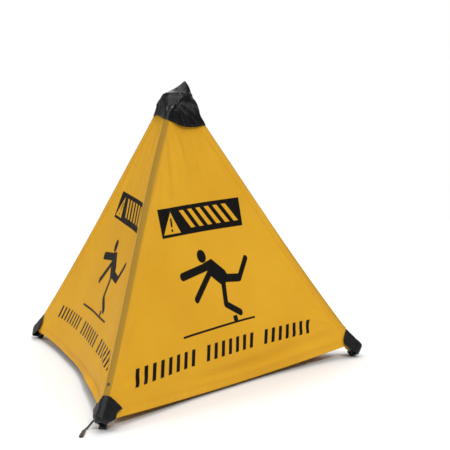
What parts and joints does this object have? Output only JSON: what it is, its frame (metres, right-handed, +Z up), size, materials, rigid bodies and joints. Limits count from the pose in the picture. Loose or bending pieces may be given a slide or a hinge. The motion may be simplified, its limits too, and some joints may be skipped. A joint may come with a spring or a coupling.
{
  "type": "wet floor sign",
  "caption": "Pop-up floor sign: a fabric pyramid with a soft black cap, held out by spring-opened folding rods that end in corner boots and rubber feet.",
  "frame": {"origin": "on the floor, straight under the hub's axis and level with the flats of the rubber feet", "axes": "+Z up along the hub's axis; leg a stands towards -Y, leg b towards +X and a little +Y, leg c towards -X and a little +Y"},
  "size_m": [0.5898, 0.5436, 0.457],
  "materials": {
    "hub_plastic": "satin moulded nylon",
    "collar_plastic": "satin moulded acetal",
    "steel": "zinc plated",
    "spring_steel": "bright drawn wire",
    "fibreglass_rod": "pultruded, lightly glossed",
    "sleeve_fabric": "coated nylon",
    "panel_fabric": "coated nylon, soft sheen",
    "cap_vinyl": "glossy soft vinyl",
    "boot_vinyl": "satin soft vinyl",
    "rubber": "moulded rubber",
    "rivet": "dark lacquered",
    "cord": "braided polyester",
    "cord_tab": "satin"
  },
  "bodies": {
    "hub": {"hub_body": "hub_plastic", "hub_cover": "hub_plastic", "cover_screws": "steel", "hinge_pins": "steel", "guide_bolt": "steel", "stop_washer": "steel", "lock_nut": "steel", "cap": "cap_vinyl", "opening_spring": "spring_steel"},
    "collar": {"lever_collar": "collar_plastic"},
    "leg_a": {"knuckle_a": "hub_plastic", "rod_a": "fibreglass_rod", "sleeve_a": "sleeve_fabric", "foot_tip_a": "rubber", "corner_boot_a": "boot_vinyl", "rivet_a": "rivet", "panel_ab": "panel_fabric", "pull_cord": "cord", "cord_tab": "cord_tab"},
    "leg_b": {"knuckle_b": "hub_plastic", "rod_b": "fibreglass_rod", "sleeve_b": "sleeve_fabric", "foot_tip_b": "rubber", "corner_boot_b": "boot_vinyl", "rivet_b": "rivet", "panel_bc": "panel_fabric"},
    "leg_c": {"knuckle_c": "hub_plastic", "rod_c": "fibreglass_rod", "sleeve_c": "sleeve_fabric", "foot_tip_c": "rubber", "corner_boot_c": "boot_vinyl", "rivet_c": "rivet", "panel_ca": "panel_fabric"}
  },
  "joints": [
    {"name": "fold_a", "type": "hinge", "parent": "hub", "child": "leg_a", "pos_m": [0, -0.019, 0.42738], "axis": [1, 0, 0], "range_deg": [0, 36.5], "stiffness_Nm_per_rad": 0.5, "springref_deg": -57.3, "deforming": ["corner_boot_a", "panel_ab", "panel_bc", "panel_ca", "cap"]},
    {"name": "fold_b", "type": "hinge", "parent": "hub", "child": "leg_b", "pos_m": [0.01645, 0.0095, 0.42738], "axis": [-0.5, 0.866, 0], "range_deg": [0, 36.55], "deforming": ["corner_boot_b"]},
    {"name": "fold_c", "type": "hinge", "parent": "hub", "child": "leg_c", "pos_m": [-0.01645, 0.0095, 0.42738], "axis": [-0.5, -0.866, 0], "range_deg": [0, 36.55], "deforming": ["corner_boot_c"]},
    {"name": "collar_slide", "type": "slide", "parent": "hub", "child": "collar", "axis": [0, 0, 1], "range_m": [0, 0.0062], "deforming": ["opening_spring"]}
  ],
  "couplings": [
    {"joint": "fold_b", "follows": "fold_a", "ratio": 1},
    {"joint": "fold_c", "follows": "fold_a", "ratio": 1},
    {"joint": "collar_slide", "follows": "fold_a", "m_per_rad": 0.009395}
  ]
}
